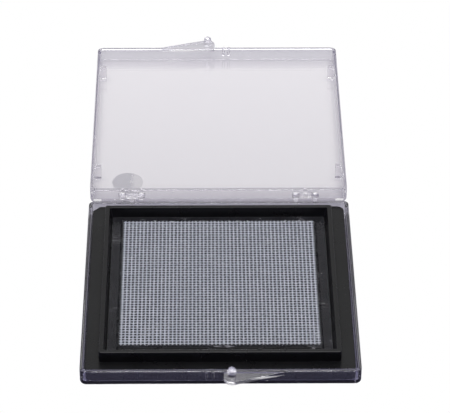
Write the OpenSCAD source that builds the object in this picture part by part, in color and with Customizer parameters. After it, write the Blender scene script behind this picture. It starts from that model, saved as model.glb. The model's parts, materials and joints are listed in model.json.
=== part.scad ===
// Pocket wet palette: a clear hinged case that opens flat, and a black tray that
// holds a damp pad, a woven mesh and a clear membrane.
// The origin is the centre of the base's underside. +X is to the right, +Y towards
// the hinge and the open lid, +Z up.

/* [Case] */
// Outside width and depth of each half
case_side = 53.0; // [52.8:0.1:54]
// Height of each half
half_h = 3.4; // [3.2:0.1:3.8]
// Thickness of the side walls
wall_t = 0.8; // [0.7:0.05:0.8]
// Thickness of the floor, and of the lid's panel
floor_t = 0.8; // [0.6:0.05:0.8]
// Radius of the four upright corners
corner_r = 1.2; // [1:0.1:1.5]
// Radius of the edge between floor and walls, outside
edge_r = 0.7; // [0.4:0.05:0.8]

/* [Hinge] */
// Distance of the hinge axis behind the base's back wall
axis_back = 1.8; // [1.7:0.1:2.2]
// Gap between the two rims when the case is shut
shut_gap = 0.1; // [0.1:0.02:0.2]
// Distance of each knuckle group from the middle
knuckle_x = 17.8; // [12:0.1:22]
// Radius of a ball-shaped ear
ear_r = 0.9; // [0.85:0.05:1]
// Distance from the middle of the barrel to the middle of an ear
ear_offset = 1.95; // [1.9:0.05:2.2]
// Radius of the barrel between the ears
barrel_r = 0.68; // [0.6:0.02:0.75]
// Radius of the pins at the barrel's ends
pin_r = 0.4; // [0.35:0.01:0.42]
// Radial clearance of a pin in its ear
pin_clearance = 0.05; // [0.03:0.01:0.06]
// Width of the arms that carry ears and barrel
arm_w = 0.85; // [0.7:0.05:1]

/* [Latch] */
// Radius of the thumb tab's round end
tab_r = 1.6; // [1.4:0.1:1.8]
// Distance of the thumb tab's round end to the right of the middle
tab_x = 2.1; // [2:0.05:2.4]
// Distance of the thumb tab's tip to the right of the middle
tab_tip_x = 12.6; // [10:0.1:14]
// How far the thumb tab stands out from the wall
tab_reach = 3.0; // [2.8:0.1:3.2]
// Thickness of the thumb tab
tab_t = 0.8; // [0.6:0.1:1]
// Radius of the latch peg on the tab
peg_r = 0.82; // [0.7:0.02:0.84]
// Height of the latch peg above the rim
peg_h = 2.0; // [1.6:0.1:2.2]
// Radius of the two upright ribs that the other half's peg stands between
rib_r = 0.3; // [0.2:0.05:0.3]
// Length of the ribs
rib_h = 2.0; // [1.4:0.1:2.2]
// Distance between the ribs
rib_pitch = 1.2; // [1.1:0.05:1.3]

/* [Lid] */
// How far the lid's lugs stand in from its side walls
lug_in = 1.3; // [1:0.1:1.5]
// Length of a lug along the wall
lug_len = 1.2; // [1:0.1:1.6]
// How far the lugs stand past the rim
lug_past = 0.25; // [0.15:0.05:0.3]
// Distance of the lugs from the lid's middle
lug_y = 18.3; // [14:0.1:20]
// Radius of the round frosted mark on the panel
mark_r = 3.2; // [2.5:0.1:4]
// Depth of the round frosted mark
mark_depth = 0.05; // [0.03:0.01:0.1]
// Distance of the round frosted mark from the lid's middle, to the hinge's ear side
mark_x = 18.9; // [15:0.1:20]
// Distance of the round frosted mark from the lid's middle, towards the hinge
mark_y = 20.2; // [15:0.1:21]

/* [Tray] */
// Outside width and depth of the tray
tray_side = 51.2; // [50.4:0.1:51.2]
// How far the tray sits to the left of the middle
tray_shift = 0.08; // [0:0.01:0.09]
// Height of the tray's flange above its underside
flange_h = 1.9; // [1.7:0.1:2]
// Whole height of the tray
tray_h = 4.3; // [3.8:0.1:4.4]
// Outside width and depth of the raised rim
rim_side = 45.8; // [45.6:0.1:46.4]
// Thickness of the raised rim at its top
rim_t = 0.9; // [0.8:0.05:1.1]
// How far the recess's walls lean in on the way down
rim_lean = 0.45; // [0.2:0.05:0.5]
// Height of the recess's floor above the tray's underside
recess_h = 2.15; // [2.1:0.05:2.4]
// Height of the raised field above the recess's floor
field_h = 0.3; // [0.2:0.05:0.4]
// Width of the margin round the raised field
margin_w = 1.95; // [1.8:0.05:2.2]
// Cut-off corner that shows which way round the tray goes
key_cut = 1.4; // [1:0.1:2]
// Trim of the tray's other corners
corner_trim = 0.5; // [0.4:0.05:0.6]
// Depth of the underside's recess, which fits over another tray's rim
stack_depth = 0.6; // [0.4:0.1:0.7]
// Play between a rim and the recess that fits over it
stack_play = 0.25; // [0.2:0.05:0.4]

/* [Filling] */
// Width and depth of the mesh and of the pad under it
mesh_side = 38.3; // [37.5:0.1:38.5]
// How far the mesh lies back from the middle of the pad
mesh_back = 0.25; // [0:0.05:0.3]
// Thickness of the woven mesh
mesh_t = 0.5; // [0.4:0.05:0.6]
// Thickness of the damp pad
pad_t = 0.8; // [0.6:0.05:0.9]
// Thickness of the adhesive frame round the field
tape_t = 0.1; // [0.08:0.01:0.12]
// Thickness of the clear membrane
film_t = 0.08; // [0.05:0.01:0.1]

/* [Hidden] */
$fn = 48;
// Enough to make two solids overlap before they are joined or cut
eps = 0.02;

half = case_side / 2;
inner = half - wall_t;

axis_y = half + axis_back;
axis_z = half_h + shut_gap / 2;
barrel_half = 0.95;
// How far a pin reaches past the middle of its ear
pin_past = 0.55;
pin_half = ear_offset + pin_past;
bore_r = pin_r + pin_clearance;
// The arms' underside, just inside the barrel's
arm_low = axis_z - 0.95 * barrel_r;
// The round inner end of an arm, and how far it shows inside the wall
boss_r = 0.45;
boss_in = 0.17;
boss_y = inner + boss_r - boss_in;
boss_z = axis_z - boss_r;

tab_y = -half - (tab_reach - tab_r);
// How far the peg stands out from the wall, and to the left of the tab's round end
peg_out = 1.15;
peg_left = 0.05;
peg_x = tab_x - peg_left;
peg_y = -half - peg_out;
// How far a lug stands off the other half's wall where it passes the rim
lug_gap = 0.15;

tray_z = floor_t;
recess_side = rim_side - 2 * rim_t;
recess_floor = recess_side - 2 * rim_lean;
field_side = recess_floor - 2 * margin_w;
recess_z = tray_z + recess_h;
field_z = recess_z + field_h;
pad_z = field_z - pad_t;
mesh_z = field_z + mesh_t;
stack_side = rim_side + 2 * stack_play;

// The adhesive frame lies clear of the recess's walls and of the field
tape_outer = recess_floor - 0.3;
tape_inner = field_side + 0.2;
// The membrane's raised middle, a little wider than the field
crown_side = field_side + 0.4;
film_gap = 0.02;

clear = [0.86, 0.85, 0.90, 0.35];
black = [0.05, 0.05, 0.055];

// A square outline with round corners
module round_square(side, r) {
    square([side, side - 2 * r], center = true);
    square([side - 2 * r, side], center = true);
    for (x = [-1, 1], y = [-1, 1])
        translate([x * (side / 2 - r), y * (side / 2 - r)]) circle(r);
}

// The upright section of a block whose two lower corners are round
module tub_section(side, h, r) {
    translate([-side / 2, r]) square([side, h - r]);
    translate([r - side / 2, 0]) square([side - 2 * r, h]);
    for (x = [-1, 1])
        translate([x * (side / 2 - r), r]) circle(r);
}

// A block with round upright corners and round lower edges
module tub_block(side, h, upright_r, lower_r) {
    intersection() {
        linear_extrude(h) round_square(side, upright_r);
        rotate([90, 0, 0])
            linear_extrude(side + 1, center = true) tub_section(side, h, lower_r);
        rotate([90, 0, 90])
            linear_extrude(side + 1, center = true) tub_section(side, h, lower_r);
    }
}

// Where the straight side of the thumb tab touches its round end
function touch_point(tip, centre, r) =
    let (
        way = centre - tip,
        far = norm(way),
        turn = atan2(way[1], way[0]) + asin(r / far)
    )
    tip + sqrt(far * far - r * r) * [cos(turn), sin(turn)];

module tab_outline() {
    tip = [tab_tip_x, -half];
    centre = [tab_x, tab_y];
    shoulder = centre + tab_r * [cos(160), sin(160)];
    into_wall = wall_t / 2;
    translate(centre) circle(tab_r);
    polygon([
        tip,
        // Just inside the circle, so that the two outlines cross
        touch_point(tip, centre, 0.995 * tab_r),
        centre,
        shoulder,
        [shoulder[0], into_wall - half],
        [tab_tip_x, into_wall - half]
    ]);
}

// The thumb tab and the peg that latches into the other half
module thumb_tab() {
    translate([0, 0, half_h - tab_t]) linear_extrude(tab_t) tab_outline();
    translate([peg_x, peg_y, half_h - eps]) cylinder(r = peg_r, h = peg_h - peg_r + eps);
    translate([peg_x, peg_y, half_h + peg_h - peg_r]) sphere(peg_r);
}

// One upright rib with a round lower end
module rib() {
    translate([0, 0, half_h - rib_h + rib_r]) cylinder(r = rib_r, h = rib_h - rib_r);
    translate([0, 0, half_h - rib_h + rib_r]) sphere(rib_r);
}

module ribs() {
    for (side = [-1, 1])
        translate([side * rib_pitch / 2 - peg_x, -half, 0]) rib();
}

// A bar from the wall towards the hinge axis, whose round inner end shows inside the wall
module hinge_arm(end_y) {
    translate([-arm_w / 2, boss_y, arm_low]) cube([arm_w, end_y - boss_y, half_h - arm_low]);
    translate([0, boss_y, boss_z]) sphere(boss_r);
}

// A ball-shaped ear on its arm, bored for the pin
module ear() {
    // The arm ends short of the bore
    hinge_arm(axis_y - bore_r - 0.1);
    translate([0, axis_y, axis_z])
        rotate([0, 90, 0])
            rotate_extrude()
                intersection() {
                    circle(ear_r);
                    translate([bore_r, -ear_r]) square(2 * ear_r);
                }
}

// The barrel on its arm, with a pin at each end
module barrel() {
    hinge_arm(axis_y);
    translate([-barrel_half, axis_y, axis_z])
        rotate([0, 90, 0]) cylinder(r = barrel_r, h = 2 * barrel_half);
    translate([-pin_half, axis_y, axis_z])
        rotate([0, 90, 0]) cylinder(r = pin_r, h = 2 * pin_half);
}

// What both halves of the case share
module half_case() {
    difference() {
        tub_block(case_side, half_h, corner_r, edge_r);
        translate([0, 0, floor_t])
            linear_extrude(half_h) round_square(2 * inner, corner_r - wall_t);
    }
    for (side = [-1, 1])
        translate([knuckle_x + side * ear_offset, 0, 0]) ear();
    translate([-knuckle_x, 0, 0]) barrel();
    thumb_tab();
    ribs();
}

// The lugs on the lid's side walls, clear of the base's walls where they pass its rim
module lugs() {
    for (x = [-1, 1], y = [-1, 1])
        translate([x * (inner - lug_in / 2), y * lug_y, 0]) {
            translate([0, 0, floor_t / 2 + half_h / 2])
                cube([lug_in + 2 * eps, lug_len, half_h - floor_t], center = true);
            translate([-x * lug_gap / 2, 0, half_h])
                cube([lug_in - lug_gap, lug_len, 2 * lug_past], center = true);
        }
}

module base_shell() {
    color(clear) half_case();
}

// The lid lies open behind the base, turned half round about the upright line
// through the hinge axis
module lid_shell() {
    color(clear)
        translate([0, 2 * axis_y, 0]) rotate([0, 0, 180])
            difference() {
                union() {
                    half_case();
                    lugs();
                }
                translate([mark_x, mark_y, floor_t - mark_depth])
                    cylinder(r = mark_r, h = half_h);
            }
}

// The tray's outline with trimmed corners and its cut-off corner at the back left
module tray_outline() {
    h = tray_side / 2;
    t = h - corner_trim;
    polygon([[-t, -h], [t, -h], [h, -t], [h, t], [t, h], [key_cut - h, h], [-h, h - key_cut], [-h, -t]]);
}

// A four-sided well that narrows downwards by lean on each side
module leaning_well(top, h, lean) {
    run = top / 2 - lean;
    section = [[-run, 0], [run, 0], [top / 2, h], [top / 2, h + 1], [-top / 2, h + 1], [-top / 2, h]];
    intersection() {
        rotate([90, 0, 0]) linear_extrude(top + 2, center = true) polygon(section);
        rotate([90, 0, 90]) linear_extrude(top + 2, center = true) polygon(section);
    }
}

module tray() {
    color(black)
        translate([-tray_shift, 0, tray_z])
            difference() {
                union() {
                    linear_extrude(flange_h) tray_outline();
                    translate([0, 0, flange_h - eps])
                        linear_extrude(tray_h - flange_h + eps) square(rim_side, center = true);
                }
                difference() {
                    translate([0, 0, recess_h])
                        leaning_well(recess_side, tray_h - recess_h, rim_lean);
                    linear_extrude(recess_h + field_h) square(field_side, center = true);
                }
                translate([0, 0, pad_z - tray_z])
                    linear_extrude(tray_h) square(mesh_side, center = true);
                translate([0, 0, -1])
                    linear_extrude(stack_depth + 1) square(stack_side, center = true);
            }
}

module sponge_pad() {
    color([0.24, 0.25, 0.29])
        translate([-tray_shift, 0, pad_z])
            linear_extrude(pad_t) square(mesh_side, center = true);
}

module mesh_screen() {
    color([0.65, 0.67, 0.71])
        translate([-tray_shift, mesh_back, field_z])
            linear_extrude(mesh_t) square(mesh_side, center = true);
}

// The adhesive frame on the recess's floor that holds the membrane's edge
module tape_frame() {
    color([0.16, 0.16, 0.18])
        translate([-tray_shift, 0, recess_z])
            linear_extrude(tape_t)
                difference() {
                    square(tape_outer, center = true);
                    square(tape_inner, center = true);
                }
}

// The clear membrane: flat on its frame, with a step up over the field and the mesh
module membrane_film() {
    low = recess_z + tape_t;
    high = mesh_z + film_gap;
    color([0.8, 0.82, 0.88, 0.3])
        translate([-tray_shift, 0, 0])
            difference() {
                union() {
                    translate([0, 0, low])
                        linear_extrude(film_t) square(tape_outer, center = true);
                    translate([0, 0, low])
                        linear_extrude(high - low + film_t) square(crown_side, center = true);
                }
                translate([0, 0, low - 1])
                    linear_extrude(high - low + 1) square(crown_side - 2 * film_t, center = true);
            }
}

base_shell();
lid_shell();
tray();
sponge_pad();
mesh_screen();
tape_frame();
membrane_film();
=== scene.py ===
"""Looks of the pocket wet palette: a clear hinged case lying open, and a black tray
with a woven mesh under a clear membrane. Metres, in the frame of the CAD model:
+X to the right, +Y from the thumb tab to the open lid, +Z up."""

import json
import math
import random

import bmesh
import bpy
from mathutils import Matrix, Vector, noise


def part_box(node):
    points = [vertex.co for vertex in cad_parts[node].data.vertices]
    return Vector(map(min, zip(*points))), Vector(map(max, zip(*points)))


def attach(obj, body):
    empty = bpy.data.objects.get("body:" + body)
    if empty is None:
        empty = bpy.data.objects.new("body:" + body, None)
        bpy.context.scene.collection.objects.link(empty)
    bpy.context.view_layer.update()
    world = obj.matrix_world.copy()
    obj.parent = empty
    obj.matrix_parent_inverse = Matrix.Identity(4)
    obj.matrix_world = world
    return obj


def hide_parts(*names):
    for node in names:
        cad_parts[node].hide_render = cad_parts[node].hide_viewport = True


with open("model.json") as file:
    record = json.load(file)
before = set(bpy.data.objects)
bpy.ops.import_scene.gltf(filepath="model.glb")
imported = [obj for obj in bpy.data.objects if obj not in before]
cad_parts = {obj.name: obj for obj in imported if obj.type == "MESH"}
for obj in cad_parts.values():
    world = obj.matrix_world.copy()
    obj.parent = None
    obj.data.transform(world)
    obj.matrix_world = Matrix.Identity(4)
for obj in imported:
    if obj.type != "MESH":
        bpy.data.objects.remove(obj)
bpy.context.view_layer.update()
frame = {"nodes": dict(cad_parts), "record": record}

MM = 0.001

# ---------------------------------------------------------------------------
# Sizes: taken from the frame where it gives them, else repeated from the part
# ---------------------------------------------------------------------------

BASE_LOW, BASE_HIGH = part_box("base_shell")
TRAY_LOW, TRAY_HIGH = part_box("tray")
PAD_LOW, PAD_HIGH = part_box("sponge_pad")
MESH_LOW, MESH_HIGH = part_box("mesh_screen")
FILM_LOW, FILM_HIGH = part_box("membrane_film")
TAPE_LOW, TAPE_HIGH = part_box("tape_frame")
HINGE = next(j for j in frame["record"]["behaviour"]["joints"] if j["name"] == "lid_hinge")

AXIS_Y, AXIS_Z = HINGE["pos_m"][1], HINGE["pos_m"][2]
HALF = BASE_HIGH[0]
SHUT_GAP = 0.1 * MM
HALF_H = AXIS_Z - SHUT_GAP / 2
WALL = 0.8 * MM
FLOOR_T = TRAY_LOW[2]
CORNER_R = 1.2 * MM
EDGE_R = 0.7 * MM
INNER = HALF - WALL

KNUCKLE_X = 17.8 * MM
EAR_R = 0.9 * MM
EAR_OFFSET = 1.95 * MM
BARREL_R = 0.68 * MM
BARREL_HALF = 0.95 * MM
PIN_R = 0.4 * MM
PIN_HALF = 2.5 * MM
BORE_R = 0.45 * MM
ARM_W = 0.85 * MM
ARM_LOW = AXIS_Z - 0.95 * BARREL_R
BOSS_R = 0.45 * MM
BOSS_Y = INNER + BOSS_R - 0.17 * MM

TAB_R = 1.6 * MM
TAB_X = 2.1 * MM
TAB_TIP_X = 12.6 * MM
TAB_T = 0.8 * MM
TAB_Y = BASE_LOW[1] + TAB_R
PEG_R = 0.82 * MM
PEG_X = TAB_X - 0.05 * MM
PEG_Y = -HALF - 1.15 * MM
PEG_TOP = BASE_HIGH[2]
RIB_R = 0.3 * MM
RIB_H = 2.0 * MM
RIB_PITCH = 1.2 * MM

LUG_IN = 1.3 * MM
LUG_LEN = 1.2 * MM
LUG_PAST = 0.25 * MM
LUG_Y = 18.3 * MM
MARK_R = 3.2 * MM
MARK_AT = (18.9 * MM, 20.2 * MM)
MARK_DEPTH = 0.05 * MM

TRAY_X = (TRAY_LOW[0] + TRAY_HIGH[0]) / 2
TRAY_HALF = (TRAY_HIGH[0] - TRAY_LOW[0]) / 2
FLANGE_Z = TRAY_LOW[2] + 1.9 * MM
KEY_CUT = 1.4 * MM
RIM_HALF = 22.9 * MM
RIM_T = 0.9 * MM
RIM_LEAN = 0.45 * MM
STACK_HALF = RIM_HALF + 0.25 * MM
STACK_DEPTH = 0.6 * MM
RECESS_Z = TAPE_LOW[2]
FIELD_HALF = RIM_HALF - RIM_T - RIM_LEAN - 1.95 * MM
FIELD_Z = MESH_LOW[2]
PAD_HALF = (PAD_HIGH[0] - PAD_LOW[0]) / 2

MESH_SIDE = MESH_HIGH[0] - MESH_LOW[0]
THREADS = 51
PITCH = MESH_SIDE / THREADS


# ---------------------------------------------------------------------------
# Node helpers
# ---------------------------------------------------------------------------

def new_material(name):
    """The empty node tree of a new material, which is found by its name later."""
    mat = bpy.data.materials.new(name)
    mat.use_nodes = True
    mat.node_tree.nodes.clear()
    return mat.node_tree


def node(tree, kind, **inputs):
    """A shader node with its inputs set, by name with underscores for spaces."""
    made = tree.nodes.new(kind)
    for key, value in inputs.items():
        socket = made.inputs[key.replace("_", " ")]
        if isinstance(value, bpy.types.NodeSocket):
            tree.links.new(value, socket)
        else:
            socket.default_value = value
    return made


def ramp(tree, value, stops):
    """A colour ramp through (position, grey or colour) stops."""
    made = tree.nodes.new("ShaderNodeValToRGB")
    tree.links.new(value, made.inputs["Fac"])
    elements = made.color_ramp.elements
    while len(elements) < len(stops):
        elements.new(0.5)
    for element, (position, shade) in zip(elements, stops):
        element.position = position
        element.color = (shade, shade, shade, 1) if isinstance(shade, (int, float)) else (*shade, 1)
    return made.outputs["Color"]


def maths(tree, operation, a, b=0.0, c=0.0):
    """The result of a Math node on sockets or numbers."""
    made = tree.nodes.new("ShaderNodeMath")
    made.operation = operation
    for socket, value in zip(made.inputs, (a, b, c)):
        if isinstance(value, bpy.types.NodeSocket):
            tree.links.new(value, socket)
        else:
            socket.default_value = value
    return made.outputs[0]


def remap(tree, value, low, high, first=0.0, last=1.0):
    """first where value is low or less, last where it is high or more, and even between them."""
    made = node(
        tree, "ShaderNodeMapRange", Value=value,
        From_Min=low, From_Max=high, To_Min=first, To_Max=last,
    )
    return made.outputs[0]


def place(tree, scale=(1, 1, 1), turn=0.0):
    """The piece's own coordinates in millimetres, stretched by scale and turned about Z."""
    coords = tree.nodes.new("ShaderNodeTexCoord")
    mapping = node(tree, "ShaderNodeMapping", Vector=coords.outputs["Object"])
    mapping.inputs["Scale"].default_value = [s / MM for s in scale]
    mapping.inputs["Rotation"].default_value = (0, 0, turn)
    return mapping.outputs["Vector"]


def noise_at(tree, vector, scale, detail=3.0):
    """Soft noise between 0 and 1, with scale lumps to the millimetre."""
    made = node(tree, "ShaderNodeTexNoise", Vector=vector, Scale=scale, Detail=detail, Roughness=0.55)
    return made.outputs["Fac"]


def specks(tree, vector, scale, size, share):
    """Round specks in a share of the cells of a grid of that scale."""
    cells = node(tree, "ShaderNodeTexVoronoi", Vector=vector, Scale=scale)
    lot = node(tree, "ShaderNodeSeparateColor", Color=cells.outputs["Color"]).outputs[0]
    chosen = maths(tree, "LESS_THAN", lot, share)
    near = maths(tree, "LESS_THAN", cells.outputs["Distance"], size)
    return maths(tree, "MULTIPLY", chosen, near)


def scratches(tree, turn, density, width):
    """Thin straight scratches that run across the piece at one angle."""
    stretched = place(tree, scale=(0.05, 1.0, 1.0), turn=turn)
    bent = noise_at(tree, stretched, density, detail=1.0)
    line = maths(tree, "ABSOLUTE", maths(tree, "SUBTRACT", bent, 0.5))
    return maths(tree, "LESS_THAN", line, width)


def bump(tree, height, strength, distance):
    """The normal of a surface that height lifts by up to distance."""
    made = node(tree, "ShaderNodeBump", Height=height, Strength=strength, Distance=distance)
    return made.outputs["Normal"]


def mixed(tree, share, first, second):
    """The first shader with a share of the second."""
    made = tree.nodes.new("ShaderNodeMixShader")
    for socket, source in zip(made.inputs, (share, first, second)):
        tree.links.new(source, socket)
    return made.outputs[0]


def finish_surface(tree, shader):
    """Makes shader the material's surface."""
    out = tree.nodes.new("ShaderNodeOutputMaterial")
    tree.links.new(shader, out.inputs["Surface"])


# ---------------------------------------------------------------------------
# Materials
# ---------------------------------------------------------------------------

def clear_plastic(name, frosted=False, satin=0.0):
    """Clear moulded plastic that lets lamps through, with a faint lavender tint.
    satin is the extra roughness of a surface that is not polished."""
    tree = new_material(name)
    where = place(tree)
    smear = noise_at(tree, where, 0.12, detail=4.0)
    grain = noise_at(tree, where, 1.6, detail=2.0)
    clarity = 1.0
    if frosted:
        across = node(tree, "ShaderNodeSeparateXYZ", Vector=where).outputs["X"]
        ragged = maths(tree, "MULTIPLY_ADD", noise_at(tree, where, 0.9, detail=5.0), 2.4, across)
        worn = remap(tree, ragged, -17.2, -15.8)
        clarity = ramp(tree, worn, [(0.0, 0.70), (1.0, 0.95)])
        rough = ramp(tree, worn, [(0.0, 0.30), (1.0, 0.10)])
        normal = bump(tree, noise_at(tree, where, 6.0, detail=3.0), 0.03, 0.02 * MM)
        tint = ramp(tree, worn, [(0.0, (0.36, 0.355, 0.385)), (1.0, (0.60, 0.59, 0.61))])
    else:
        rough = ramp(tree, smear, [(0.35, 0.015 + satin), (0.75, 0.07 + satin)])
        normal = bump(tree, grain, 0.03, 0.02 * MM)
        tint = (0.937, 0.926, 0.946, 1)
    glass = node(
        tree, "ShaderNodeBsdfPrincipled", Base_Color=tint, Roughness=rough, Normal=normal,
        IOR=1.58, Transmission_Weight=clarity,
    )
    facing = tree.nodes.new("ShaderNodeLayerWeight").outputs["Facing"]
    passed = ramp(tree, facing, [(0.3, (0.97, 0.967, 0.97)), (0.75, (0.34, 0.32, 0.40))])
    through = node(tree, "ShaderNodeBsdfTransparent", Color=passed)
    path = tree.nodes.new("ShaderNodeLightPath")
    lit = maths(tree, "MAXIMUM", path.outputs["Is Shadow Ray"], path.outputs["Is Diffuse Ray"])
    # Light that is caught between the faces gets out after a few reflections
    caught = maths(tree, "GREATER_THAN", path.outputs["Ray Depth"], 6.0)
    straight = maths(tree, "MAXIMUM", lit, caught)
    finish_surface(tree, mixed(tree, straight, glass.outputs[0], through.outputs[0]))


def black_plastic():
    """Satin black moulding with a fine grain, faint flow marks and a little dust."""
    tree = new_material("black_moulding")
    where = place(tree)
    cloud = noise_at(tree, where, 0.18, detail=3.0)
    grain = noise_at(tree, where, 9.0, detail=2.0)
    dust = specks(tree, where, 0.9, 0.07, 0.05)
    shade = ramp(tree, cloud, [(0.3, (0.0022, 0.0022, 0.0026)), (0.7, (0.004, 0.004, 0.0045))])
    dusty = tree.nodes.new("ShaderNodeMix")
    dusty.data_type = "RGBA"
    tree.links.new(dust, dusty.inputs["Factor"])
    tree.links.new(shade, dusty.inputs["A"])
    dusty.inputs["B"].default_value = (0.05, 0.05, 0.055, 1)
    rough = ramp(tree, noise_at(tree, where, 0.3, detail=4.0), [(0.3, 0.26), (0.7, 0.31)])
    shader = node(
        tree, "ShaderNodeBsdfPrincipled", Base_Color=dusty.outputs["Result"], Roughness=rough,
        Normal=bump(tree, grain, 0.15, 0.02 * MM), IOR=1.31,
    )
    finish_surface(tree, shader.outputs[0])


def thread_material():
    """Light grey monofilament, a little uneven from thread to thread."""
    tree = new_material("grey_monofilament")
    where = place(tree)
    patchy = noise_at(tree, where, 0.9, detail=3.0)
    shade = ramp(tree, patchy, [(0.3, (0.295, 0.315, 0.345)), (0.7, (0.40, 0.42, 0.45))])
    streak = noise_at(tree, where, 6.0, detail=2.0)
    rough = ramp(tree, streak, [(0.3, 0.38), (0.7, 0.6)])
    shader = node(
        tree, "ShaderNodeBsdfPrincipled", Base_Color=shade, Roughness=rough,
        Normal=bump(tree, streak, 0.15, 0.02 * MM), IOR=1.5,
    )
    finish_surface(tree, shader.outputs[0])


def foam_material():
    """Damp dark open-cell foam."""
    tree = new_material("damp_foam")
    where = place(tree)
    cells = node(tree, "ShaderNodeTexVoronoi", Vector=where, Scale=3.2)
    depth = cells.outputs["Distance"]
    # Painted shade: the colour is darker down in the pits of the cells
    shade = ramp(tree, depth, [(0.05, (0.003, 0.0033, 0.0045)), (0.5, (0.011, 0.012, 0.016))])
    rough = ramp(tree, noise_at(tree, where, 1.2), [(0.35, 0.35), (0.65, 0.8)])
    shader = node(
        tree, "ShaderNodeBsdfPrincipled", Base_Color=shade, Roughness=rough,
        Normal=bump(tree, depth, 0.7, 0.12 * MM), IOR=1.15,
    )
    finish_surface(tree, shader.outputs[0])


def tape_material():
    """Dark adhesive film with trapped air and a faint crosswise grain."""
    tree = new_material("dark_tape")
    where = place(tree)
    air = specks(tree, where, 1.4, 0.16, 0.12)
    cloud = noise_at(tree, where, 0.6)
    shade = ramp(tree, cloud, [(0.3, (0.006, 0.006, 0.007)), (0.7, (0.012, 0.012, 0.014))])
    rough = ramp(tree, air, [(0.0, 0.42), (1.0, 0.2)])
    shader = node(
        tree, "ShaderNodeBsdfPrincipled", Base_Color=shade, Roughness=rough,
        Normal=bump(tree, noise_at(tree, where, 2.2), 0.3, 0.04 * MM), IOR=1.12,
    )
    finish_surface(tree, shader.outputs[0])


def film_material():
    """A clear glossy film: mostly see-through, with a soft shine, scratches and dust."""
    tree = new_material("clear_membrane")
    where = place(tree)
    fine = maths(tree, "MAXIMUM", scratches(tree, 0.9, 1.1, 0.004), scratches(tree, -0.6, 0.9, 0.003))
    patch = ramp(tree, noise_at(tree, where, 0.25), [(0.5, 0.0), (0.62, 1.0)])
    fine = maths(tree, "MULTIPLY", fine, patch)
    dust = specks(tree, where, 0.6, 0.08, 0.10)
    marks = maths(tree, "MAXIMUM", fine, dust)
    ripple = noise_at(tree, where, 0.35, detail=3.0)
    normal = bump(tree, ripple, 0.2, 0.08 * MM)
    rough = ramp(tree, noise_at(tree, where, 0.8), [(0.3, 0.16), (0.7, 0.30)])
    clear = node(tree, "ShaderNodeBsdfTransparent", Color=(0.93, 0.93, 0.95, 1))
    shine = node(tree, "ShaderNodeBsdfGlossy", Color=(0.92, 0.92, 0.96, 1), Roughness=rough, Normal=normal)
    speck = node(tree, "ShaderNodeBsdfDiffuse", Color=(0.55, 0.55, 0.58, 1))
    edge_on = node(tree, "ShaderNodeFresnel", IOR=1.27, Normal=normal)
    shiny = mixed(tree, edge_on.outputs[0], clear.outputs[0], shine.outputs[0])
    finish_surface(tree, mixed(tree, maths(tree, "MULTIPLY", marks, 0.5), shiny, speck.outputs[0]))


def white_floor():
    """White where the camera sees it bare. Through the plastic its colour is painted
    with light and shade: a painted pool of light under the open lid, a painted shadow
    dim round the base, where the black tray keeps the light off it, and evenly bright again further off."""
    tree = new_material("white_floor")
    coords = tree.nodes.new("ShaderNodeTexCoord")
    parts = node(tree, "ShaderNodeSeparateXYZ", Vector=coords.outputs["Object"])
    near, far = -0.06, 0.10
    along = remap(tree, parts.outputs["Y"], near, far)
    # Painted light and shade from the front to the back, by the distance from the middle of the base
    painted_shades = [
        (-0.044, (0.40, 0.39, 0.44)), (-0.033, (0.16, 0.155, 0.24)), (0.020, (0.20, 0.195, 0.23)),
        (0.030, (0.34, 0.335, 0.36)), (0.036, (0.56, 0.557, 0.55)), (0.079, (0.65, 0.647, 0.635)),
        (0.0802, (0.56, 0.555, 0.56)), (0.091, (0.32, 0.32, 0.335)),
    ]
    painted_light_pool = ramp(tree, along, [((y - near) / (far - near), shade) for y, shade in painted_shades])
    off = maths(tree, "ABSOLUTE", parts.outputs["X"])
    # Painted shade: the floor's colour is darker out past the base's sides
    sides = remap(tree, off, 0.024, 0.034, 1.0, 0.7)
    painted_floor_shade = node(tree, "ShaderNodeHueSaturation", Color=painted_light_pool, Value=sides)
    lit = node(tree, "ShaderNodeBsdfDiffuse", Color=painted_floor_shade.outputs["Color"])
    away = tree.nodes.new("ShaderNodeVectorMath")
    away.operation = "DISTANCE"
    tree.links.new(coords.outputs["Object"], away.inputs[0])
    away.inputs[1].default_value = (0, 0.03, 0)
    far_off = remap(tree, away.outputs["Value"], 0.07, 0.13)
    backdrop = node(tree, "ShaderNodeEmission", Color=(0.24, 0.215, 0.36, 1), Strength=1.0)
    around = mixed(tree, far_off, lit.outputs[0], backdrop.outputs[0])
    bare = node(tree, "ShaderNodeEmission", Color=(1, 1, 1, 1), Strength=1.0)
    path = tree.nodes.new("ShaderNodeLightPath")
    finish_surface(tree, mixed(tree, path.outputs["Is Camera Ray"], around, bare.outputs[0]))


# ---------------------------------------------------------------------------
# Mesh helpers
# ---------------------------------------------------------------------------

def mesh_object(name, bm, material, sharp_deg=32):
    """A smooth-shaded object from bm, with its sharper edges kept crisp."""
    for face in bm.faces:
        face.smooth = True
    for edge in bm.edges:
        if len(edge.link_faces) == 2:
            edge.smooth = edge.calc_face_angle() < math.radians(sharp_deg)
    mesh = bpy.data.meshes.new(name)
    bm.to_mesh(mesh)
    bm.free()
    mesh.materials.append(material)
    made = bpy.data.objects.new(name, mesh)
    bpy.context.scene.collection.objects.link(made)
    return made


def flatten_shading(made):
    """Keeps the shading of large flat faces flat next to their round edges."""
    weighted = made.modifiers.new("flat_faces", "WEIGHTED_NORMAL")
    weighted.keep_sharp = True
    weighted.weight = 100


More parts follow.
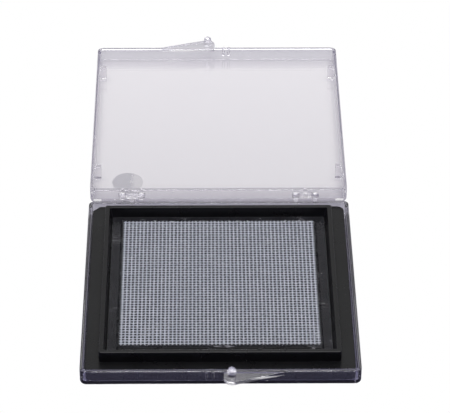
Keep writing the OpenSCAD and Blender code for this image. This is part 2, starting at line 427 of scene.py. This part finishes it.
def square_ring(half, radius, z, centre=(0.0, 0.0), cut=0.0):
    """Points of a square outline with round corners, anticlockwise from the front right.
    cut is the length of the cut-off corner at the back left."""
    steps = 6
    points = []
    for quarter, (sx, sy) in enumerate(((1, -1), (1, 1), (-1, 1), (-1, -1))):
        start = math.radians(90 * quarter - 90)
        for i in range(steps + 1):
            along = i / steps
            if cut and quarter == 2:
                x, y = -half + cut * (1 - along), half - cut * along
            else:
                turn = start + along * math.pi / 2
                x = sx * (half - radius) + radius * math.cos(turn)
                y = sy * (half - radius) + radius * math.sin(turn)
            points.append(Vector((centre[0] + x, centre[1] + y, z)))
    return points


def loft(rings):
    """A closed skin through rings with the same number of points, capped at both ends."""
    bm = bmesh.new()
    rows = [[bm.verts.new(p) for p in ring] for ring in rings]
    count = len(rows[0])
    for low, high in zip(rows, rows[1:]):
        for i in range(count):
            j = (i + 1) % count
            bm.faces.new((low[i], low[j], high[j], high[i]))
    bm.faces.new(list(reversed(rows[0])))
    bm.faces.new(rows[-1])
    bmesh.ops.recalc_face_normals(bm, faces=bm.faces)
    return bm


def arc(centre, radius, start, end, steps):
    """(across, up) points of an arc, in degrees."""
    turns = [math.radians(start + (end - start) * i / steps) for i in range(steps + 1)]
    return [(centre[0] + radius * math.cos(t), centre[1] + radius * math.sin(t)) for t in turns]


def lathe(profile, at, axis="Z", around=32, closed=False):
    """A solid of revolution. profile is (radius, along) points; a closed one is a ring."""
    bm = bmesh.new()
    turn = {
        "Z": lambda r, s, a: (r * math.cos(a), r * math.sin(a), s),
        "X": lambda r, s, a: (s, r * math.cos(a), r * math.sin(a)),
    }[axis]
    base = Vector(at)
    rows = []
    for radius, along in profile:
        if radius < 1e-9:
            rows.append([bm.verts.new(base + Vector(turn(0, along, 0)))])
        else:
            rows.append([
                bm.verts.new(base + Vector(turn(radius, along, 2 * math.pi * i / around)))
                for i in range(around)
            ])
    pairs = list(zip(rows, rows[1:]))
    if closed:
        pairs.append((rows[-1], rows[0]))
    for low, high in pairs:
        for i in range(around):
            j = (i + 1) % around
            corners = [low[i % len(low)], low[j % len(low)], high[j % len(high)], high[i % len(high)]]
            unique = list(dict.fromkeys(corners))
            if len(unique) > 2:
                bm.faces.new(unique)
    bmesh.ops.recalc_face_normals(bm, faces=bm.faces)
    return bm


def bevelled(bm, width):
    """Rounds every edge of bm that turns by more than 40 degrees."""
    edges = [e for e in bm.edges if e.calc_face_angle(0.0) > math.radians(40)]
    bmesh.ops.bevel(
        bm, geom=edges, offset=width, offset_type="OFFSET", segments=2,
        profile=0.5, affect="EDGES", clamp_overlap=True,
    )
    return bm


def prism(outline, low, high):
    """An upright prism on a plan outline."""
    return loft([[Vector((x, y, z)) for x, y in outline] for z in (low, high)])


def block(low, high, width):
    """A box with round edges."""
    outline = [(low[0], low[1]), (high[0], low[1]), (high[0], high[1]), (low[0], high[1])]
    return bevelled(prism(outline, low[2], high[2]), width)


def joined(first, others, operation="UNION"):
    """first with the others joined to it or cut from it, as a new closed bmesh."""
    body = mesh_object("work_body", first, bpy.data.materials[0])
    for other in others:
        tool = mesh_object("work_tool", other, bpy.data.materials[0])
        cut = body.modifiers.new("join", "BOOLEAN")
        cut.operation = operation
        cut.solver = "MANIFOLD"
        cut.object = tool
        bpy.context.view_layer.update()
        result = body.evaluated_get(bpy.context.evaluated_depsgraph_get())
        shaped = bpy.data.meshes.new_from_object(result)
        body.modifiers.clear()
        body.data = shaped
        bpy.data.objects.remove(tool)
    bm = bmesh.new()
    bm.from_mesh(body.data)
    bpy.data.objects.remove(body)
    return bm


# ---------------------------------------------------------------------------
# The case
# ---------------------------------------------------------------------------

def case_tub():
    """One half of the case without its fittings: walls, floor, round edges."""
    lip = 0.13 * MM
    foot = 0.12 * MM
    section = arc((EDGE_R, EDGE_R), EDGE_R, 270, 180, 6)
    section += arc((lip, HALF_H - lip), lip, 180, 90, 3)
    section += arc((WALL - lip, HALF_H - lip), lip, 90, 0, 3)
    section += arc((WALL + foot, FLOOR_T + foot), foot, 180, 270, 3)
    rings = [square_ring(HALF - inset, max(CORNER_R - inset, 0.2 * MM), z) for inset, z in section]
    return loft(rings)


def hinge_arm(x, end_y):
    """The bar that carries an ear or the barrel, and its round inner end."""
    bar = block((x - ARM_W / 2, BOSS_Y, ARM_LOW), (x + ARM_W / 2, end_y, HALF_H), 0.12 * MM)
    profile = arc((0, AXIS_Z - BOSS_R), BOSS_R, -90, 90, 12)
    profile[0] = (0, profile[0][1])
    profile[-1] = (0, profile[-1][1])
    return [bar, lathe(profile, (x, BOSS_Y, 0), around=24)]


def ear(x):
    """A ball-shaped ear with its bore, on its arm."""
    mouth = math.degrees(math.asin(BORE_R / EAR_R))
    profile = arc((0, 0), EAR_R, 90 - mouth, mouth - 90, 16)
    ring = lathe(profile, (x, AXIS_Y, AXIS_Z), axis="X", closed=True)
    return [ring] + hinge_arm(x, AXIS_Y - BORE_R - 0.1 * MM)


def barrel(x):
    """The barrel with its two pins, on its arm."""
    soft = 0.1 * MM
    left = [(0, -PIN_HALF)] + arc((PIN_R - soft, -PIN_HALF + soft), soft, -90, 0, 3)
    left += [(PIN_R, -BARREL_HALF)] + arc((BARREL_R - soft, -BARREL_HALF + soft), soft, -90, 0, 3)
    profile = left + [(radius, -along) for radius, along in reversed(left)]
    return [lathe(profile, (x, AXIS_Y, AXIS_Z), axis="X")] + hinge_arm(x, AXIS_Y)


def thumb_tab():
    """The flat tab with its latch peg."""
    tip = Vector((TAB_TIP_X, -HALF))
    centre = Vector((TAB_X, TAB_Y))
    way = centre - tip
    # The straight edge leaves the round end where it is tangent to it, at a right angle
    # to the radius, one full turn on because the arc starts at the left of the end
    edge_turn = math.atan2(way.y, way.x) + math.asin(TAB_R / way.length)
    touch = math.degrees(edge_turn) + 90 + 360
    round_end = arc(centre, TAB_R, 160, touch, 18)
    inside = -HALF + WALL / 2
    outline = [(round_end[0][0], inside)] + round_end + [tuple(tip), (TAB_TIP_X, inside)]
    plate = bevelled(prism(outline, HALF_H - TAB_T, HALF_H), 0.12 * MM)
    low = HALF_H - TAB_T / 2
    profile = [(0, low), (PEG_R, low), (PEG_R, PEG_TOP - PEG_R)]
    profile += arc((0, PEG_TOP - PEG_R), PEG_R, 0, 90, 8)[1:-1] + [(0, PEG_TOP)]
    return [plate, lathe(profile, (PEG_X, PEG_Y, 0))]


def ribs():
    """The two upright ribs on the front wall."""
    low = HALF_H - RIB_H
    made = []
    for side in (-1, 1):
        profile = [(0, low)] + arc((0, low + RIB_R), RIB_R, -90, 0, 5)[1:]
        profile += [(RIB_R, HALF_H - 0.08 * MM), (RIB_R - 0.08 * MM, HALF_H), (0, HALF_H)]
        made.append(lathe(profile, (side * RIB_PITCH / 2 - PEG_X, -HALF, 0), around=20))
    return made


def fittings():
    """What is moulded onto each half's walls, as the base lies."""
    made = []
    for side in (-1, 1):
        made += ear(KNUCKLE_X + side * EAR_OFFSET)
    made += barrel(-KNUCKLE_X) + thumb_tab() + ribs()
    return made


def lugs():
    """The lid's four lugs: each stands on the floor and reaches past the rim, where it
    is set back from the wall to pass inside the base."""
    soft = 0.1 * MM
    set_back = 0.15 * MM
    made = []
    for x in (-1, 1):
        near, far, clear = (x * (INNER + out) for out in (-LUG_IN, 0.05 * MM, -set_back))
        for y in (-1, 1):
            front, back = y * LUG_Y - LUG_LEN / 2, y * LUG_Y + LUG_LEN / 2
            foot_low = (min(near, far), front, FLOOR_T / 2)
            foot_high = (max(near, far), back, HALF_H)
            made.append(block(foot_low, foot_high, soft))
            tip_low = (min(near, clear), front, HALF_H / 2)
            tip_high = (max(near, clear), back, HALF_H + LUG_PAST)
            made.append(block(tip_low, tip_high, soft))
    return made


def satin_fittings(bm):
    """Gives the hinge and the round end of the tab of a half its second material."""
    past_wall = HALF + 0.05 * MM
    for face in bm.faces:
        x, y, _ = face.calc_center_median()
        on_hinge = y > past_wall
        on_round_end = y < -past_wall and x < TAB_X + TAB_R
        if on_hinge or on_round_end:
            face.material_index = 1


def add_base():
    """The lower half, with the satin plastic as its second material."""
    bm = joined(case_tub(), fittings())
    satin_fittings(bm)
    base = mesh_object("clear_base", bm, bpy.data.materials["clear_plastic"])
    base.data.materials.append(bpy.data.materials["satin_plastic"])
    flatten_shading(base)
    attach(base, "case_base")
    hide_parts("base_shell")


def add_lid():
    """The same half turned half round about the upright line through the hinge axis."""
    bm = joined(case_tub(), fittings() + lugs())
    mark = lathe(
        [(0, FLOOR_T - MARK_DEPTH), (MARK_R, FLOOR_T - MARK_DEPTH), (MARK_R, HALF_H), (0, HALF_H)],
        (*MARK_AT, 0), around=64,
    )
    bm = joined(bm, [mark], "DIFFERENCE")
    satin_fittings(bm)
    # The half turn, after which the mark's floor gets the third material
    for vert in bm.verts:
        vert.co.x, vert.co.y = -vert.co.x, 2 * AXIS_Y - vert.co.y
    centre = Vector((-MARK_AT[0], 2 * AXIS_Y - MARK_AT[1]))
    for face in bm.faces:
        middle = face.calc_center_median()
        if (middle.xy - centre).length < MARK_R and abs(middle.z - FLOOR_T + MARK_DEPTH) < 0.01 * MM:
            face.material_index = 2
    lid = mesh_object("clear_lid", bm, bpy.data.materials["clear_plastic"])
    lid.data.materials.append(bpy.data.materials["satin_plastic"])
    lid.data.materials.append(bpy.data.materials["frosted_plastic"])
    flatten_shading(lid)
    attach(lid, "lid")
    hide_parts("lid_shell")


# ---------------------------------------------------------------------------
# The tray and what it carries
# ---------------------------------------------------------------------------

def add_tray():
    """One skin from the underside's recess round the flange and the rim to the pad's pocket.
    Each add() is one edge of that section."""
    edge = 0.14 * MM
    soft = 0.22 * MM
    low, top = TRAY_LOW[2], TRAY_HIGH[2]
    wall = RIM_HALF - RIM_T
    foot = wall - RIM_LEAN
    rings = []

    def add(points, radius, cut=0.0):
        # The corners grow a little rounder outwards
        for half, z in points:
            corner = max(radius - (RIM_HALF - half) * 0.3, 0.12 * MM)
            rings.append(square_ring(half, corner, z, centre=(TRAY_X, 0), cut=cut))

    add([(STACK_HALF, low + STACK_DEPTH), (STACK_HALF, low)], 0.4 * MM)
    add(arc((TRAY_HALF - edge, low + edge), edge, 270, 360, 2), 0.6 * MM, KEY_CUT)
    add(arc((TRAY_HALF - soft, FLANGE_Z - soft), soft, 0, 90, 4), 0.6 * MM, KEY_CUT)
    add(arc((RIM_HALF + edge / 2, FLANGE_Z + edge / 2), edge / 2, 270, 180, 2), 0.35 * MM)
    add(arc((RIM_HALF - soft, top - soft), soft, 0, 90, 4), 0.35 * MM)
    add(arc((wall + edge, top - edge), edge, 90, 180, 3), 0.6 * MM)
    add(arc((foot - edge, RECESS_Z + edge), edge, 0, -90, 2), 0.7 * MM)
    add([(FIELD_HALF + 0.05 * MM, RECESS_Z), (FIELD_HALF, RECESS_Z + 0.05 * MM)], 0.6 * MM)
    add(arc((FIELD_HALF - 0.1 * MM, FIELD_Z - 0.1 * MM), 0.1 * MM, 0, 90, 2), 0.6 * MM)
    add([(PAD_HALF, FIELD_Z), (PAD_HALF, PAD_LOW[2])], 0.5 * MM)
    tray = mesh_object("black_tray", loft(rings), bpy.data.materials["black_moulding"])
    flatten_shading(tray)
    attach(tray, "tray_stack")
    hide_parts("tray")


def add_pad():
    """A thin foam pad with an open, uneven top."""
    cells = 110
    bm = bmesh.new()
    step = (PAD_HIGH[0] - PAD_LOW[0]) / cells
    depth = 0.12 * MM

    def height(x, y):
        lump = noise.noise(Vector((x, y, 0)) / (0.42 * MM))
        lump += 0.5 * noise.noise(Vector((x, y, 1)) / (0.2 * MM))
        return PAD_HIGH[2] - depth * (0.5 + 0.33 * lump)

    rows = []
    for j in range(cells + 1):
        y = PAD_LOW[1] + j * step
        rows.append([
            bm.verts.new((PAD_LOW[0] + i * step, y, height(PAD_LOW[0] + i * step, y)))
            for i in range(cells + 1)
        ])
    for low, high in zip(rows, rows[1:]):
        for i in range(cells):
            bm.faces.new((low[i], low[i + 1], high[i + 1], high[i]))
    rim = [e for e in bm.edges if e.is_boundary]
    skirt = bmesh.ops.extrude_edge_only(bm, edges=rim)["geom"]
    low_verts = [g for g in skirt if isinstance(g, bmesh.types.BMVert)]
    for vert in low_verts:
        vert.co.z = PAD_LOW[2]
    bmesh.ops.holes_fill(bm, edges=[e for e in bm.edges if e.is_boundary], sides=0)
    bmesh.ops.recalc_face_normals(bm, faces=bm.faces)
    pad = mesh_object("foam_pad", bm, bpy.data.materials["damp_foam"], sharp_deg=60)
    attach(pad, "tray_stack")
    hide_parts("sponge_pad")


def thread_section(half_width, half_height):
    """(across, up) points round a flattened thread of six sides."""
    turns = [2 * math.pi * (i + 0.5) / 6 for i in range(6)]
    return [(half_width * math.cos(t), half_height * math.sin(t)) for t in turns]


def add_thread(bm, offset, index, along_y, start, end, middle_z, swing):
    """One thread that passes over and under the threads it crosses.
    along_y is 1 for a thread that runs along Y and 0 for one along X."""
    per_crossing = 3
    section = thread_section((0.152 if along_y else 0.13) * MM, 0.052 * MM)
    count = THREADS * per_crossing
    rows = []
    wander = random.Random(index * 2 + along_y)
    drift = wander.uniform(-0.02, 0.02) * MM
    thick = wander.uniform(0.95, 1.05)
    for i in range(count + 1):
        t = i / count
        s = start + (end - start) * t
        phase = math.pi * (i / per_crossing - 0.5 + index + along_y)
        lift = swing * math.cos(phase)
        side = drift + 0.02 * MM * noise.noise(Vector((s / (3 * MM), offset / (2 * MM), along_y)))
        ring = []
        for across, up in section:
            a = offset + side + across * thick
            z = middle_z + lift + up * thick
            ring.append(bm.verts.new((a, s, z) if along_y else (s, a, z)))
        rows.append(ring)
    sides = len(section)
    for low, high in zip(rows, rows[1:]):
        for i in range(sides):
            j = (i + 1) % sides
            bm.faces.new((low[i], low[j], high[j], high[i]))
    bm.faces.new(list(reversed(rows[0])))
    bm.faces.new(rows[-1])


def add_mesh_screen():
    """The plain-woven mesh, thread by thread."""
    bm = bmesh.new()
    swing = 0.065 * MM
    middle_z = MESH_HIGH[2] - swing - 0.1 * MM
    for index in range(THREADS):
        inward = (index + 0.5) * PITCH
        add_thread(bm, MESH_LOW[0] + inward, index, 1, MESH_LOW[1], MESH_HIGH[1], middle_z, swing)
        add_thread(bm, MESH_LOW[1] + inward, index, 0, MESH_LOW[0], MESH_HIGH[0], middle_z, swing)
    bmesh.ops.recalc_face_normals(bm, faces=bm.faces)
    screen = mesh_object("woven_mesh", bm, bpy.data.materials["grey_monofilament"], sharp_deg=75)
    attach(screen, "tray_stack")
    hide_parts("mesh_screen")


def add_film():
    """The membrane: flat on its frame, drawn up over the mesh, with faint ripples."""
    bm = bmesh.new()
    half = (FILM_HIGH[0] - FILM_LOW[0]) / 2
    low = TAPE_HIGH[2] + 0.05 * MM
    high = FILM_HIGH[2] - 0.03 * MM
    foot = FIELD_HALF + 0.15 * MM
    crown = FIELD_HALF - 0.20 * MM

    def height(x, y):
        out = max(abs(x), abs(y))
        t = min(max((foot - out) / (foot - crown), 0.0), 1.0)
        eased = t * t * (3 - 2 * t)
        ripple = noise.noise(Vector((x, y, 0)) / (3.5 * MM)) * (1 - eased) * 0.02 * MM
        return low + (high - low) * eased + ripple

    margin = [foot + (half - foot) * i / 5 for i in range(1, 6)]
    step = [crown + (foot - crown) * i / 8 for i in range(9)]
    middle = [crown * i / 40 for i in range(40)]
    right = middle[1:] + step + margin
    places = [-p for p in reversed(right)] + [0.0] + right
    rows = [[bm.verts.new((TRAY_X + x, y, height(x, y))) for x in places] for y in places]
    for below, above in zip(rows, rows[1:]):
        for i in range(len(places) - 1):
            bm.faces.new((below[i], below[i + 1], above[i + 1], above[i]))
    film = mesh_object("membrane", bm, bpy.data.materials["clear_membrane"])
    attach(film, "tray_stack")
    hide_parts("membrane_film")


def dress_tape():
    """The adhesive frame keeps its CAD shape and gets its own material."""
    tape = bpy.data.objects[frame["nodes"]["tape_frame"].name]
    for slot in tape.material_slots:
        slot.material = bpy.data.materials["dark_tape"]


# ---------------------------------------------------------------------------
# Floor, light and camera
# ---------------------------------------------------------------------------

def add_floor():
    """A wide floor a hair below the case, so that their faces never coincide."""
    bm = bmesh.new()
    bmesh.ops.create_grid(bm, x_segments=1, y_segments=1, size=1.5)
    for vert in bm.verts:
        vert.co.z -= 0.02 * MM
    floor = mesh_object("floor", bm, bpy.data.materials["white_floor"])


def add_world():
    """A soft studio sky: bright above and behind, dim in front."""
    world = bpy.data.worlds.new("studio")
    bpy.context.scene.world = world
    world.use_nodes = True
    tree = world.node_tree
    tree.nodes.clear()
    coords = tree.nodes.new("ShaderNodeTexCoord")
    parts = node(tree, "ShaderNodeSeparateXYZ", Vector=coords.outputs["Generated"])
    rise = maths(tree, "MULTIPLY_ADD", parts.outputs["Z"], 0.15, 0.5)
    lean = maths(tree, "MULTIPLY_ADD", parts.outputs["Y"], 0.32, rise)
    shade = ramp(tree, lean, [(0.12, (0.15, 0.145, 0.20)), (0.5, (0.36, 0.34, 0.48)), (0.8, 0.84)])
    sky = node(tree, "ShaderNodeBackground", Color=shade, Strength=1.0)
    out = tree.nodes.new("ShaderNodeOutputWorld")
    tree.links.new(sky.outputs[0], out.inputs["Surface"])


def add_lamp(name, at, aim, size, power):
    """A white rectangular lamp at one place, aimed at another."""
    lamp = bpy.data.lights.new(name, "AREA")
    lamp.shape = "RECTANGLE"
    lamp.size, lamp.size_y = size
    lamp.energy = power
    made = bpy.data.objects.new(name, lamp)
    made.location = at
    made.rotation_euler = (Vector(aim) - Vector(at)).to_track_quat("-Z", "Y").to_euler()
    bpy.context.scene.collection.objects.link(made)


def add_camera():
    """A long lens above and in front, tipped 37 degrees down, a touch to the right."""
    camera = bpy.data.cameras.new("camera")
    camera.lens = 194.3
    camera.clip_start = 0.01
    made = bpy.data.objects.new("camera", camera)
    made.location = (-3.32 * MM, -369.5 * MM, 303.6 * MM)
    made.rotation_euler = (math.radians(90 - 37.3), math.radians(-0.18), math.radians(-0.53))
    bpy.context.scene.collection.objects.link(made)
    bpy.context.scene.camera = made


clear_plastic("clear_plastic")
clear_plastic("satin_plastic", satin=0.18)
clear_plastic("frosted_plastic", frosted=True)
black_plastic()
thread_material()
foam_material()
tape_material()
film_material()
white_floor()

add_base()
add_lid()
add_tray()
add_pad()
add_mesh_screen()
add_film()
dress_tape()

add_floor()
add_world()
add_lamp("key_above", (0.0, 0.06, 0.60), (0, 0.03, 0), (0.45, 0.35), 3.4)
add_lamp("front_box", (0.04, -0.36, 0.46), (0, 0.02, 0), (0.30, 0.20), 0.9)
add_camera()

bpy.context.scene.view_settings.view_transform = "Standard"
bpy.context.scene.cycles.max_bounces = 24
bpy.context.scene.cycles.glossy_bounces = 24
bpy.context.scene.cycles.transmission_bounces = 24
bpy.context.scene.cycles.transparent_max_bounces = 24
